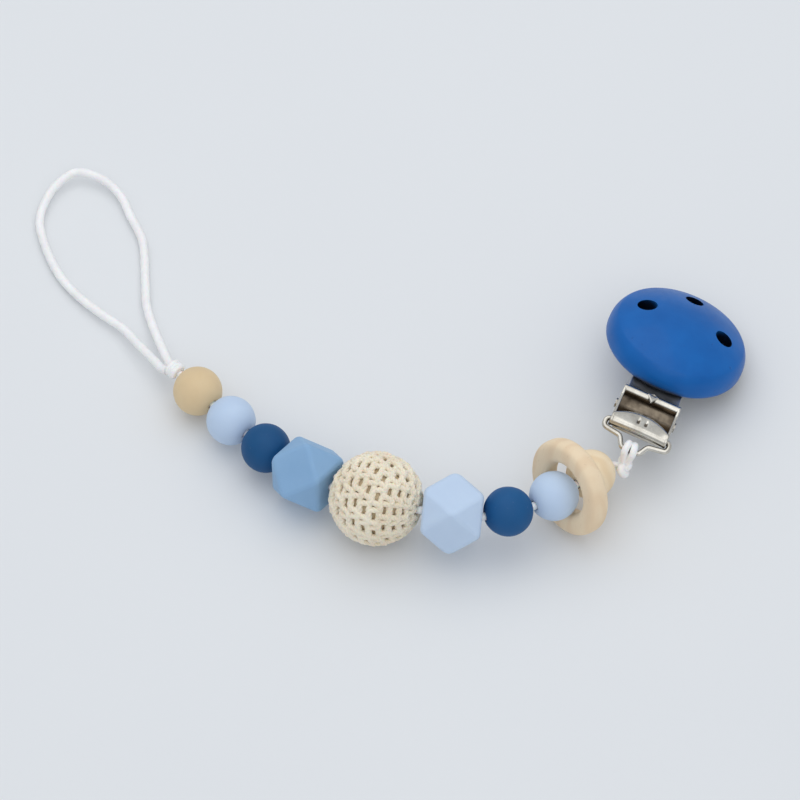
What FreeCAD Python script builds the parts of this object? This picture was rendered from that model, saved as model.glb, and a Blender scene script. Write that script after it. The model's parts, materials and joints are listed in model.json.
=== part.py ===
import FreeCAD, Part
import os
from math import cos, radians, sin, tan

from FreeCAD import Placement, Rotation, Vector

# Beaded soother clip: a clip with a wooden disc, a string of beads, and a cord loop.
#
# Units are millimetres and degrees. +Z is up and the string lies along X. The origin is the centre of
# the bottom of the whole assembly's box, so Z = 0 is the table that the assembly lies on.

# Beads
ROUND_RADIUS = 6.0
HEX_HALF = 7.2              # centre to square face of a faceted bead
HEX_EDGE_ROUND = 0.9
CORE_RADIUS = 9.8           # wooden ball inside the crochet bead
COVER_RADIUS = 11.2
COVER_GAP = 0.03
COVER_MOUTH = 1.8           # radius of the crochet cover's opening at each pole

# Cord: one cord runs through all the beads, and is cut at each gap so that the string can bend
CORD_RADIUS = 1.0
BORE_RADIUS = 1.09
CORD_SETBACK = 0.32         # each length of cord stops this far short of the bend point
LOOP_CORD_RADIUS = 1.05
KNOT_RADIUS = 2.3
KNOT_GAP = 0.4
TAIL_LENGTH = 7.0           # first bend point to the wire at the narrow end of the wire loop
TAIL_HEADING = 4.4
TAIL_RISE = 39.0
BIGHT_RADIUS = 0.7          # cord drawn tight round the wire
BIGHT_PLAY = 0.12
TAIL_LOBE_RADIUS = 1.6
TAIL_LOBE_SPREAD = 0.9
TAIL_KNOT_PLACE = Vector(3.9, -0.9, 0)      # from the first bend point to the middle of the tail knot

# The string from the clip to the loop: bead, kind, gap before it, heading, rise and roll.
# The heading and the rise are those of the cord as it runs towards the clip.
STRING = [
    ("wood_bead", "round", 0.6, 49, -15, 0),
    ("light_blue_bead_1", "round", 0.3, 34, -4, 0),
    ("dark_blue_bead", "round", 0.3, 15, -1, 0),
    ("light_blue_hex_bead", "hex", 0.45, -5, -3, -8),
    ("crochet_bead", "crochet", 0.85, -23, 7, 0),
    ("mid_blue_hex_bead", "hex", 0.55, -37.5, 7, 38),
    ("navy_bead", "round", 0.48, -44.5, 5, 0),
    ("light_blue_bead_2", "round", 0.36, -47.5, 2, 0),
    ("oatmeal_bead", "round", 0.35, -48.5, 0.5, 0),
]
HALF_LENGTH = {"round": ROUND_RADIUS, "hex": HEX_HALF, "crochet": COVER_RADIUS}

# Wooden ring that hangs round the string between the first two beads
RING_RADIUS = 9.75          # to the middle of the ring's round section
RING_SECTION_RADIUS = 2.4
RING_YAW = 37.7             # heading of the ring's own axis
RING_RISE = -12.4
RING_OFFSET = Vector(-1.26, -1.38, 1.38)    # from the string's bend point to the ring's centre

# Soother loop: its centreline as (out from the knot, to the left, height above the table)
LOOP_LINE = [
    (3.0, -1.3, 5.0), (7.5, -2.9, 4.2), (14.9, -6.1, 2.6), (23.3, -10.4, 1.5), (29.9, -15.5, 1.25),
    (39.9, -22.9, 1.25), (48.2, -25.8, 1.5), (54.0, -27.7, 2.0), (60.5, -27.5, 2.5), (66.4, -24.0, 3.0),
    (67.1, -18.0, 2.5), (65.1, -12.5, 2.0), (61.7, -7.8, 1.5), (55.7, -4.2, 1.25), (45.8, -0.6, 1.25),
    (37.7, 0.4, 1.5), (28.9, 0.0, 2.0), (21.4, -0.9, 2.5), (13.7, -0.1, 3.5), (6.6, 0.7, 4.6),
    (3.0, 1.2, 5.1),
]

# Clip, in its own frame: X across, Y from the wire loop to the disc, Z = 0 the disc's underside
CLIP_PLACE = Vector(72.08, 47.13, 6.34)
CLIP_YAW = -16.1
CLIP_PITCH = -18.3
CLIP_ROLL = 13.4
DISC_RADIUS = 17.6
DISC_HEIGHT = 12.1
DISC_DOME_RADIUS = 31.0
DISC_RIM_ROUND = 2.4
VENT_RADIUS = 2.35
VENT_CIRCLE = 10.2
VENT_ANGLES = (2.5, 90, 176.5)
SHEET = 0.8                 # thickness of the pressed steel
NECK_HALF_WIDTH = 6.5
BODY_HALF_WIDTH = 7.3
NECK_END_Y = 8.0
BAR_Y = -20.5               # rolled cross bar between the neck and the hollow
BAR_Z = -0.1
BAR_RADIUS = 1.0
HOLLOW = [(BAR_Y, BAR_Z), (-22.3, -1.6), (-25.0, -2.4), (-29.2, -1.5)]   # (y, z) along its top face
HOLLOW_INSET = 0.1          # from the body's side to the hollow's
BOSS_SIDE = 2.12            # diamond boss on the bar
BOSS_HEIGHT = 0.5
BOSS_SINK = 0.35            # how far the boss sits below the top of the bar
BOSS_HOLE_RADIUS = 0.45
LIP_Y = -31.8
LIP_WIDTH = 2.0             # at its two ends
LIP_RISE = 3.2              # how far the lip's upper edge arches towards the disc
LIP_LEVEL = -1.75           # underside of the lip
DIMPLE_RADIUS = 0.6
DIMPLE_PLACES = ((-1.2, 0.9), (1.2, 0.9))   # from the middle of the lip's lower edge
DIMPLE_LIFT = 0.2           # centre of each dimple's ball above the lip's top face
EAR_DEPTH = 6.0
PIN_Y = -21.7
PIN_Z = -4.2
PIN_RADIUS = 0.8
PIN_HEAD_RADIUS = 1.2
PIN_HEAD = 0.5
RUNNING = 0.06              # radial play of the pin in its holes
WIRE_PLAY = 0.2             # radial play of the wire loop in the ears
WIRE_RADIUS = 0.65
WIRE_Y = -30.4
WIRE_Z = -2.7
WIRE_DROOP = 34.0
EYE_Y = -36.1               # centre of the wire at the narrow end of the loop
# Half of the wire loop's centreline, from its end in the ear: (x, y, radius of the bend there)
WIRE_HALF = [
    (6.1, 0.0, 0.0), (8.3, 0.0, 1.1), (8.3, -2.4, 1.0), (3.7, -3.1, 1.4), (2.3, EYE_Y - WIRE_Y, 1.25),
]
JAW_HALF_WIDTH = 5.5
JAW_START_Y = PIN_Y + 2.3   # clear of the lever's cheeks
JAW_END_Y = 8.0
JAW_Z = -2.5                # top of the jaw plate
WINDOW = (2.4, -12.0, -3.0)  # half width, start and end of the window in the jaw plate
KNUCKLE_RADIUS = 1.7
KNUCKLE_HALF = 3.4
PAD_INSET = 0.4             # from the jaw plate's side to the insert's
PAD_START_Y = -1.5
PAD_END_Y = JAW_END_Y - 0.3
PAD_SEAT = 0.03             # between the insert and the jaw plate
PAD_THICKNESS = 0.72
TOOTH_PITCH = 1.5
TOOTH_WIDTH = 1.2
TOOTH_ROWS = 6
TOOTH_START_Y = -1.1
TOOTH_INSET = 0.6           # from the jaw plate's side to the end of a row of teeth
TOOTH_CLEARANCE = 0.12      # between the teeth and the front plate with the jaw closed
LEVER_HALF_WIDTH = 6.2
THUMB_START_Y = PIN_Y - 1.4
THUMB_Z = -EAR_DEPTH - 0.1  # top face of the thumb plate near the pin
# (y, z) along the top face of the thumb plate, which lies against the ears and curls away at its end
THUMB_LINE = [(THUMB_START_Y, THUMB_Z), (PIN_Y - 3.2, THUMB_Z - 0.1), (PIN_Y - 4.9, THUMB_Z - 0.9)]
CHEEK_X = 4.6               # middle of each of the lever's cheeks
CHEEK_RADIUS = 1.6
WEB_SPAN = (PIN_Y - 3.0, PIN_Y + 0.6)
SCREW_PLACES = ((0.0, -9.5), (0.0, -4.5))
SCREW_RADIUS = 0.95         # of the screw's hole
SCREW_DEPTH = 5.0
SCREW_PLAY = 0.05
SCREW_HEAD_RADIUS = 1.85
SCREW_HEAD = 0.6
SCREW_ROOM_RADIUS = 2.25    # hole in the jaw's insert round each screw head


def heading(yaw, rise):
    """Unit vector for a heading from +X and a rise above the table."""
    level = cos(radians(rise))
    return Vector(cos(radians(yaw)) * level, sin(radians(yaw)) * level, sin(radians(rise)))


def placed(shape, place):
    return shape.transformed(place.toMatrix(), True)


def fused(shapes):
    return shapes[0].fuse(shapes[1:]).removeSplitter()


def along_x(radius, half_length, y=0.0, z=0.0):
    """Cylinder centred on X = 0 that runs along X."""
    return Part.makeCylinder(radius, 2 * half_length, Vector(-half_length, y, z), Vector(1, 0, 0))


def block(x_half, y_low, y_high, z_low, z_high):
    size = (2 * x_half, y_high - y_low, z_high - z_low)
    return Part.makeBox(*size, Vector(-x_half, y_low, z_low))


def spline(points):
    curve = Part.BSplineCurve()
    curve.interpolate([Vector(*p) for p in points])
    return curve.toShape()


def swept(path, radius):
    """Round bar along a smooth path."""
    edge = path.Edges[0]
    start = edge.valueAt(edge.FirstParameter)
    direction = edge.tangentAt(edge.FirstParameter)
    ring = Part.Wire(Part.makeCircle(radius, start, direction))
    return path.makePipeShell([ring], True, True)


def bent_path(corners):
    """Straight lines between corners (x, y, bend radius), with an arc at every corner but the ends."""
    spots = [Vector(x, y, 0) for x, y, _ in corners]
    edges = []
    start = spots[0]
    for before, corner, after, (_, _, bend) in zip(spots, spots[1:], spots[2:], corners[1:]):
        back = (before - corner).normalize()
        ahead = (after - corner).normalize()
        half_angle = back.getAngle(ahead) / 2
        reach = bend / tan(half_angle)
        middle = (back + ahead).normalize() * (bend / sin(half_angle) - bend)
        enter = corner + back * reach
        leave = corner + ahead * reach
        edges.append(Part.makeLine(start, enter))
        edges.append(Part.Arc(enter, corner + middle, leave).toShape())
        start = leave
    edges.append(Part.makeLine(start, spots[-1]))
    return Part.Wire(edges)


# Beads, each with its cord along X and its centre at the origin

def bored_ball(radius, bore):
    """Ball turned about X, with a straight hole through its poles."""
    end = (radius ** 2 - bore ** 2) ** 0.5
    low, top, high = Vector(-end, 0, bore), Vector(0, 0, radius), Vector(end, 0, bore)
    section = Part.Wire([Part.Arc(low, top, high).toShape(), Part.makeLine(high, low)])
    return Part.Face(section).revolve(Vector(0, 0, 0), Vector(1, 0, 0), 360)


def round_bead():
    return bored_ball(ROUND_RADIUS, BORE_RADIUS)


def face(points):
    return Part.Face(Part.makePolygon(points + points[:1]))


def hex_bead():
    """Faceted bead: six square faces and eight triangles, with softened edges."""
    u = HEX_HALF
    faces = []
    for axis in range(3):
        for side in (-u, u):
            corners = []
            for a, b in ((u, 0), (0, u), (-u, 0), (0, -u)):
                corner = [0, 0, 0]
                corner[axis] = side
                corner[(axis + 1) % 3] = a
                corner[(axis + 2) % 3] = b
                corners.append(Vector(*corner))
            faces.append(face(corners))
    for x in (-u, u):
        for y in (-u, u):
            for z in (-u, u):
                faces.append(face([Vector(x, y, 0), Vector(0, y, z), Vector(x, 0, z)]))
    solid = Part.Solid(Part.Shell(faces))
    softened = solid.makeFillet(HEX_EDGE_ROUND, solid.Edges)
    return softened.cut(along_x(BORE_RADIUS, u + 1))


def crochet_core():
    return bored_ball(CORE_RADIUS, BORE_RADIUS)


def crochet_cover():
    """Even shell round the wooden ball, open at both poles."""
    inner = CORE_RADIUS + COVER_GAP
    inner_end = (inner ** 2 - COVER_MOUTH ** 2) ** 0.5
    outer_end = (COVER_RADIUS ** 2 - COVER_MOUTH ** 2) ** 0.5
    inner_low, inner_high = Vector(-inner_end, 0, COVER_MOUTH), Vector(inner_end, 0, COVER_MOUTH)
    outer_low, outer_high = Vector(-outer_end, 0, COVER_MOUTH), Vector(outer_end, 0, COVER_MOUTH)
    section = Part.Wire([
        Part.Arc(outer_low, Vector(0, 0, COVER_RADIUS), outer_high).toShape(),
        Part.makeLine(outer_high, inner_high),
        Part.Arc(inner_high, Vector(0, 0, inner), inner_low).toShape(),
        Part.makeLine(inner_low, outer_low),
    ])
    return Part.Face(section).revolve(Vector(0, 0, 0), Vector(1, 0, 0), 360)


# The layout of the string, before the whole assembly is centred on the origin

def clip_place():
    turn = Rotation(Vector(0, 0, 1), CLIP_YAW) * Rotation(Vector(1, 0, 0), CLIP_PITCH)
    return Placement(CLIP_PLACE, turn * Rotation(Vector(0, 1, 0), CLIP_ROLL))


def wire_place():
    """The wire loop's frame in the clip's frame: its origin is on the loop's hinge line."""
    return Placement(Vector(0, WIRE_Y, WIRE_Z), Rotation(Vector(1, 0, 0), WIRE_DROOP))


def eye_point():
    """Centre of the wire at the narrow end of the wire loop."""
    return clip_place().multVec(wire_place().multVec(Vector(0, EYE_Y - WIRE_Y, 0)))


def string_layout():
    """One entry per bead: its name, kind, the bend point before it, its centre and its rotation."""
    point = eye_point() - heading(TAIL_HEADING, TAIL_RISE) * TAIL_LENGTH
    beads = []
    for name, kind, gap, yaw, rise, roll in STRING:
        direction = heading(yaw, rise)
        if beads:
            point = point - beads[-1]["direction"] * gap / 2
        centre = point - direction * (HALF_LENGTH[kind] + gap / 2)
        beads.append({
            "name": name, "kind": kind, "gap": gap, "bend": point, "centre": centre,
            "direction": direction, "turn": Rotation(yaw, -rise, roll),
        })
        point = centre - direction * HALF_LENGTH[kind]
    return beads


def loop_frame(beads):
    """The bend point at the loop's knot, the knot's centre, and the loop's level frame."""
    last = beads[-1]
    bend = last["centre"] - last["direction"] * (HALF_LENGTH[last["kind"]] + KNOT_GAP / 2)
    knot = bend - last["direction"] * (KNOT_GAP / 2 + KNOT_RADIUS)
    yaw = STRING[-1][3] + 180
    return bend, knot, Placement(Vector(knot.x, knot.y, 0), Rotation(yaw, 0, 0))


def cord_piece(bead):
    """The length of cord inside one bead."""
    half = HALF_LENGTH[bead["kind"]] + bead["gap"] / 2 - CORD_SETBACK
    return along_x(CORD_RADIUS, half)


def bead_parts(bead):
    makers = {"round": round_bead, "hex": hex_bead}
    if bead["kind"] == "crochet":
        shapes = {bead["name"] + "_core": crochet_core(), bead["name"] + "_cover": crochet_cover()}
    else:
        shapes = {bead["name"]: makers[bead["kind"]]()}
    shapes["cord_in_" + bead["name"]] = cord_piece(bead)
    place = Placement(bead["centre"], bead["turn"])
    return {name: placed(shape, place) for name, shape in shapes.items()}


# Ring, knots and loop

def wooden_ring(beads):
    """The ring rests on the table and leans on the string where the first two beads meet."""
    centre = beads[1]["bend"] + RING_OFFSET
    return Part.makeTorus(RING_RADIUS, RING_SECTION_RADIUS, centre, heading(RING_YAW, RING_RISE))


def tail_knot(beads):
    """The knot between the first bead and the wire loop: two lobes side by side."""
    centre = beads[0]["bend"] + TAIL_KNOT_PLACE
    spread = Vector(0, TAIL_LOBE_SPREAD, 0)
    lobes = [Part.makeSphere(TAIL_LOBE_RADIUS, centre + spread * s) for s in (-1, 1)]
    return fused(lobes)


def tail_bight():
    """The cord's turn round the wire: an open ring of cord with the wire inside it."""
    ring_radius = WIRE_RADIUS + BIGHT_PLAY + BIGHT_RADIUS
    return Part.makeTorus(ring_radius, BIGHT_RADIUS, eye_point(), eye_axis())


def eye_axis():
    """The direction of the wire at the narrow end of the wire loop."""
    return clip_place().Rotation.multVec(Vector(1, 0, 0))


def loop_knot(beads):
    """The ball-shaped knot that closes the soother loop."""
    _, knot, frame = loop_frame(beads)
    return placed(Part.makeSphere(KNOT_RADIUS), Placement(knot, frame.Rotation))


def soother_loop(beads):
    _, _, frame = loop_frame(beads)
    return placed(swept(Part.Wire(spline(LOOP_LINE)), LOOP_CORD_RADIUS), frame)


# Clip pieces, in the clip's own frame

def wooden_disc():
    """Turned disc with a domed top and rounded rim, three vent holes and two screw holes."""
    blank = Part.makeCylinder(DISC_RADIUS, DISC_HEIGHT)
    dome = Part.makeSphere(DISC_DOME_RADIUS, Vector(0, 0, DISC_HEIGHT - DISC_DOME_RADIUS))
    disc = blank.common(dome)
    rims = [e for e in disc.Edges if e.BoundBox.ZLength < 0.01 and e.BoundBox.XLength > DISC_RADIUS]
    disc = disc.makeFillet(DISC_RIM_ROUND, rims)
    for angle in VENT_ANGLES:
        x = VENT_CIRCLE * cos(radians(angle))
        y = VENT_CIRCLE * sin(radians(angle))
        disc = disc.cut(Part.makeCylinder(VENT_RADIUS, DISC_HEIGHT + 2, Vector(x, y, -1)))
    for x, y in SCREW_PLACES:
        disc = disc.cut(Part.makeCylinder(SCREW_RADIUS, SCREW_DEPTH + 0.2, Vector(x, y, -0.1)))
    return disc


def sheet(points, x_half):
    """Pressed sheet: a curve through (y, z) points of its top face, run across the clip."""
    top = spline([(0, y, z) for y, z in points])
    bottom = top.translated(Vector(0, 0, -SHEET))
    ends = [Part.makeLine(top.valueAt(p), bottom.valueAt(p)) for p in top.ParameterRange]
    section = Part.Face(Part.Wire(Part.sortEdges([top, bottom] + ends)[0]))
    return section.translated(Vector(-x_half, 0, 0)).extrude(Vector(2 * x_half, 0, 0))


def ear(side):
    """Side wall of the clip body, with the pin's hole and the wire's hole."""
    low_y = WIRE_Y - 1.5
    high_y = PIN_Y + 2.4
    outline = [
        (low_y, WIRE_Z - 0.9), (low_y, -1.6), (BAR_Y - 5, -1.4), (BAR_Y - 2, 0.5), (high_y, 0.9),
        (high_y, -EAR_DEPTH + 1.2), (PIN_Y - 0.6, -EAR_DEPTH), (PIN_Y - 2.6, -EAR_DEPTH + 0.9),
    ]
    x = side * (BODY_HALF_WIDTH - SHEET / 2) - SHEET / 2
    wall = face([Vector(x, y, z) for y, z in outline]).extrude(Vector(SHEET, 0, 0))
    wall = wall.cut(along_x(PIN_RADIUS + RUNNING, BODY_HALF_WIDTH + 1, PIN_Y, PIN_Z))
    return wall.cut(along_x(WIRE_RADIUS + WIRE_PLAY, BODY_HALF_WIDTH + 1, WIRE_Y, WIRE_Z))


def lip():
    """Arched lip at the wire end: its upper edge rises in an arc towards the disc."""
    half = BODY_HALF_WIDTH
    high = LIP_Y + LIP_WIDTH
    outline = Part.Wire([
        Part.makeLine(Vector(-half, LIP_Y, 0), Vector(half, LIP_Y, 0)),
        Part.makeLine(Vector(half, LIP_Y, 0), Vector(half, high, 0)),
        Part.Arc(Vector(half, high, 0), Vector(0, high + LIP_RISE, 0), Vector(-half, high, 0)).toShape(),
        Part.makeLine(Vector(-half, high, 0), Vector(-half, LIP_Y, 0)),
    ])
    plate = Part.Face(outline).extrude(Vector(0, 0, SHEET)).translated(Vector(0, 0, LIP_LEVEL))
    for x, y in DIMPLE_PLACES:
        centre = Vector(x, LIP_Y + y, LIP_LEVEL + SHEET + DIMPLE_LIFT)
        plate = plate.cut(Part.makeSphere(DIMPLE_RADIUS, centre))
    return plate


def boss():
    """Diamond boss in the middle of the cross bar."""
    diamond = block(BOSS_SIDE / 2, -BOSS_SIDE / 2, BOSS_SIDE / 2, 0, BOSS_HEIGHT)
    diamond.rotate(Vector(0, 0, 0), Vector(0, 0, 1), 45)
    return diamond.translated(Vector(0, BAR_Y, BAR_RADIUS - BOSS_SINK))


def front_plate():
    """Pressed steel body: the neck under the disc, the cross bar, the hollow, the lip and two ears."""
    neck = block(NECK_HALF_WIDTH, BAR_Y, NECK_END_Y, -SHEET, 0)
    bar = along_x(BAR_RADIUS, NECK_HALF_WIDTH, BAR_Y, BAR_Z)
    hollow = sheet(HOLLOW, BODY_HALF_WIDTH - HOLLOW_INSET)
    body = fused([neck, bar, boss(), hollow, lip(), ear(-1), ear(1)])
    boss_top = BAR_RADIUS - BOSS_SINK + BOSS_HEIGHT
    body = body.cut(Part.makeCylinder(BOSS_HOLE_RADIUS, 2, Vector(0, BAR_Y, boss_top - 2)))
    for x, y in SCREW_PLACES:
        body = body.cut(Part.makeCylinder(SCREW_RADIUS, SHEET + 2, Vector(x, y, -SHEET - 1)))
    return body


def hinge_pin():
    """Pin through both ears, headed at each end."""
    parts = [along_x(PIN_RADIUS, BODY_HALF_WIDTH + PIN_HEAD, PIN_Y, PIN_Z)]
    for side in (-1, 1):
        start = Vector(side * (BODY_HALF_WIDTH + 0.05), PIN_Y, PIN_Z)
        parts.append(Part.makeCylinder(PIN_HEAD_RADIUS, PIN_HEAD, start, Vector(side, 0, 0)))
    return fused(parts)


def wire_loop():
    """Bent wire that swings on its two ends in the ears and narrows to a U for the cord."""
    other = [(-x, y, bend) for x, y, bend in reversed(WIRE_HALF)]
    return placed(swept(bent_path(WIRE_HALF + other), WIRE_RADIUS), wire_place())


def jaw_plate():
    """Pivoting jaw: a knuckle on the pin and a plate that runs back under the disc."""
    low = JAW_Z - SHEET
    window_half, window_start, window_end = WINDOW
    plate = block(JAW_HALF_WIDTH, JAW_START_Y, JAW_END_Y, low, JAW_Z)
    window = block(window_half, window_start, window_end, low - 1, JAW_Z + 1)
    arm = block(KNUCKLE_HALF, PIN_Y, JAW_START_Y, low, JAW_Z)
    knuckle = along_x(KNUCKLE_RADIUS, KNUCKLE_HALF, PIN_Y, PIN_Z)
    body = fused([plate.cut(window), arm, knuckle])
    return body.cut(along_x(PIN_RADIUS + RUNNING, KNUCKLE_HALF + 1, PIN_Y, PIN_Z))


def tooth_row(y):
    """One row of teeth: a ridge across the jaw that almost reaches the front plate."""
    end = -JAW_HALF_WIDTH + TOOTH_INSET
    foot = JAW_Z + PAD_THICKNESS / 2
    tip = -SHEET - TOOTH_CLEARANCE
    section = face([
        Vector(end, y, foot),
        Vector(end, y + TOOTH_WIDTH, foot),
        Vector(end, y + TOOTH_WIDTH / 2, tip),
    ])
    return section.extrude(Vector(-2 * end, 0, 0))


def jaw_pad():
    """Plastic insert on the jaw, with rows of teeth that face the front plate."""
    floor = JAW_Z + PAD_SEAT
    base = block(JAW_HALF_WIDTH - PAD_INSET, PAD_START_Y, PAD_END_Y, floor, floor + PAD_THICKNESS)
    rows = [tooth_row(TOOTH_START_Y + row * TOOTH_PITCH) for row in range(TOOTH_ROWS)]
    pad = fused([base] + rows)
    for x, y in SCREW_PLACES:
        pad = pad.cut(Part.makeCylinder(SCREW_ROOM_RADIUS, SHEET - JAW_Z + 1, Vector(x, y, JAW_Z - 1)))
    return pad


def cam_lever():
    """Lever on the same pin: two cheeks and a thumb plate at the back of the clip."""
    parts = [sheet(THUMB_LINE, LEVER_HALF_WIDTH)]
    for x in (-CHEEK_X, CHEEK_X):
        cheek = along_x(CHEEK_RADIUS, SHEET / 2, PIN_Y, PIN_Z)
        web = block(SHEET / 2, *WEB_SPAN, THUMB_Z - SHEET / 2, PIN_Z)
        parts += [cheek.translated(Vector(x, 0, 0)), web.translated(Vector(x, 0, 0))]
    return fused(parts).cut(along_x(PIN_RADIUS + RUNNING, LEVER_HALF_WIDTH, PIN_Y, PIN_Z))


def disc_screws():
    """Two screws that hold the front plate to the disc."""
    shank_radius = SCREW_RADIUS - SCREW_PLAY
    head_top = -SHEET - SCREW_PLAY
    screws = []
    for x, y in SCREW_PLACES:
        shank = Part.makeCylinder(shank_radius, SCREW_DEPTH - head_top, Vector(x, y, head_top))
        head = Part.makeCylinder(SCREW_HEAD_RADIUS, SCREW_HEAD, Vector(x, y, head_top - SCREW_HEAD))
        screws.append(fused([shank, head]))
    return Part.makeCompound(screws)


def clip_parts():
    makers = [
        wooden_disc, front_plate, disc_screws, hinge_pin, wire_loop, jaw_plate, jaw_pad, cam_lever,
    ]
    return {maker.__name__: placed(maker(), clip_place()) for maker in makers}


def all_parts():
    beads = string_layout()
    parts = clip_parts()
    for bead in beads:
        parts.update(bead_parts(bead))
    for maker in (wooden_ring, tail_knot, loop_knot, soother_loop):
        parts[maker.__name__] = maker(beads)
    parts["tail_bight"] = tail_bight()
    return parts


def centring(parts):
    """The shift that brings the assembly's box to sit centred on the origin, on Z = 0."""
    box = Part.makeCompound(list(parts.values())).optimalBoundingBox()
    return Vector(-(box.XMin + box.XMax) / 2, -(box.YMin + box.YMax) / 2, -box.ZMin)


def main():
    os.makedirs("parts", exist_ok=True)
    parts = all_parts()
    shift = centring(parts)
    for name, shape in parts.items():
        shape.translated(shift).exportStep("parts/" + name + ".step")


if __name__ == "__main__":
    main()
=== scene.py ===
import json
import math

import bmesh
import bpy
import numpy as np
from mathutils import Matrix, Vector, noise


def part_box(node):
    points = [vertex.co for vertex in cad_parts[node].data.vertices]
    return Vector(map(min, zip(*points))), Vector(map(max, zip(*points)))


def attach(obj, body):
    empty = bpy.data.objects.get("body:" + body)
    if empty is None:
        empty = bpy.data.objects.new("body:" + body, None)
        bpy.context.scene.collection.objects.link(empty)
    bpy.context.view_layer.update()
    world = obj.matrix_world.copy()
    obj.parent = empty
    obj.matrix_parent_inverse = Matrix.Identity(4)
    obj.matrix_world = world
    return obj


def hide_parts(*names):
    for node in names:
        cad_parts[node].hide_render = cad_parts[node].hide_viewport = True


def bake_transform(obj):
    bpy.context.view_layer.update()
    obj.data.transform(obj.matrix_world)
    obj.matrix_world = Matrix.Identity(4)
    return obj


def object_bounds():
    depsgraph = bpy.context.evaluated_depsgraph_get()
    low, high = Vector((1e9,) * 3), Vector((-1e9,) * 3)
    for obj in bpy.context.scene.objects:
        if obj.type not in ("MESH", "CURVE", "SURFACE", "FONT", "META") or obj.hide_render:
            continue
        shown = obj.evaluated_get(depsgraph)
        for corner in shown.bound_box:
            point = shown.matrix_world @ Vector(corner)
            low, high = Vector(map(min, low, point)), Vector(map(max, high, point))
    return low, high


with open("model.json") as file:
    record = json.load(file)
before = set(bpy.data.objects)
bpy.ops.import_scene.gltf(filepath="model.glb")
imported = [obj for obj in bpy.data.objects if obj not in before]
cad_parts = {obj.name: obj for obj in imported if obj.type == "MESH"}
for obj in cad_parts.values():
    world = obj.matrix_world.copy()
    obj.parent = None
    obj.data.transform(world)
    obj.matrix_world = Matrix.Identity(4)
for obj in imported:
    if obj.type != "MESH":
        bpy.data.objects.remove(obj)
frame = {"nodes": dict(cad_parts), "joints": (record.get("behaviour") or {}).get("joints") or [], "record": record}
cad_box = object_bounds()

JOINTS = {joint["name"]: joint for joint in frame["joints"]}
MOUNTS = {mount["name"]: mount for mount in frame["record"]["mounts"]}

# Sizes are in millimetres and angles in degrees, in the frame of each piece.
MM = 0.001

# Beads from the clip to the loop: name, kind, roll about the cord, material
BEADS = [
    ("wood_bead", "round", 0, "natural_wood"),
    ("light_blue_bead_1", "round", 0, "light_blue_silicone"),
    ("dark_blue_bead", "round", 0, "dark_blue_silicone"),
    ("light_blue_hex_bead", "hex", -8, "light_blue_silicone"),
    ("crochet_bead", "crochet", 0, "cotton_yarn"),
    ("mid_blue_hex_bead", "hex", 38, "mid_blue_silicone"),
    ("navy_bead", "round", 0, "navy_silicone"),
    ("light_blue_bead_2", "round", 0, "light_blue_silicone"),
    ("oatmeal_bead", "round", 0, "oatmeal_silicone"),
]
ROUND_RADIUS = 6.0
HEX_HALF = 7.2              # centre to square face of a faceted bead
BORE = 1.15
CORD = 0.97                 # half the thickness of the cord
TAIL_CORD = 0.72            # the same, where it is drawn tight at the tail
TAIL_KNOT = Vector((4.1, -1.1, 0.1))        # from the first bend to the middle of the tail knot

# Soother loop: its cord's centreline as (out from the knot, to the left, height above the table)
LOOP_CORD = 1.05
LOOP_LINE = [
    (1.9, -0.9, 5.9), (4.2, -1.5, 4.9), (7.5, -2.9, 4.1), (14.9, -6.1, 2.6), (23.3, -10.4, 1.5),
    (29.9, -15.5, 1.25), (39.9, -22.9, 1.25), (48.2, -25.8, 1.5), (54.0, -27.7, 2.0),
    (60.5, -27.5, 2.5), (66.4, -24.0, 3.0), (67.1, -18.0, 2.5), (65.1, -12.5, 2.0),
    (61.7, -7.8, 1.5), (55.7, -4.2, 1.25), (45.8, -0.6, 1.25), (37.7, 0.4, 1.5),
    (28.9, 0.0, 2.0), (21.4, -0.9, 2.5), (13.7, -0.1, 3.5), (6.6, 0.7, 4.6), (4.0, 1.1, 5.1),
    (1.9, 0.9, 5.9),
]

# Clip: Y runs along the clip away from the cord, and Z = 0 is the underside of the disc
PIN_Y = -21.7
PIN_Z = -4.2
DISC_RADIUS = 17.6
DISC_HEIGHT = 12.1
DISC_DOME = 31.0            # radius of the domed top
DISC_CREASE = 16.2          # radius at which the dome meets the rim
DISC_FOOT = 2.6             # rounding under the rim
VENT_CIRCLE = 10.2
VENT_RADIUS = 2.35
VENT_ANGLES = (2.5, 90, 176.5)

# Wooden ring
RING_RADIUS = 9.35          # middle of its band
RING_BAND = 2.8             # half the width of its band
RING_SECTION = 2.5          # half its thickness along its axis
RING_YAW = 37.7
RING_RISE = -12.4


# ---------------------------------------------------------------- places taken from the frame

def spot(joint):
    return Vector(JOINTS[joint]["pos_m"])


def axis_of(joint):
    return Vector(JOINTS[joint]["axis"])


def frame_matrix(origin, x, y, z):
    """Matrix of a frame from its origin in metres and its three axes."""
    turn = Matrix((x, y, z)).transposed().to_4x4()
    return Matrix.Translation(origin) @ turn


def bead_matrix(name, roll=0):
    """A bead's own frame: X along the cord, towards the clip."""
    direction = axis_of("spin_" + name)
    yaw = math.atan2(direction.y, direction.x)
    rise = math.asin(direction.z)
    turn = (Matrix.Rotation(yaw, 4, "Z") @ Matrix.Rotation(-rise, 4, "Y")
            @ Matrix.Rotation(math.radians(roll), 4, "X"))
    return Matrix.Translation(spot("spin_" + name)) @ turn


def clip_matrix():
    """The clip's own frame, from its hinge pin and the direction of its jaw."""
    x = axis_of("lever_hinge")
    y = Vector(MOUNTS["garment_jaw"]["axis"])
    z = x.cross(y)
    origin = spot("lever_hinge") - y * PIN_Y * MM - z * PIN_Z * MM
    return frame_matrix(origin, x, y, z)


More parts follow.
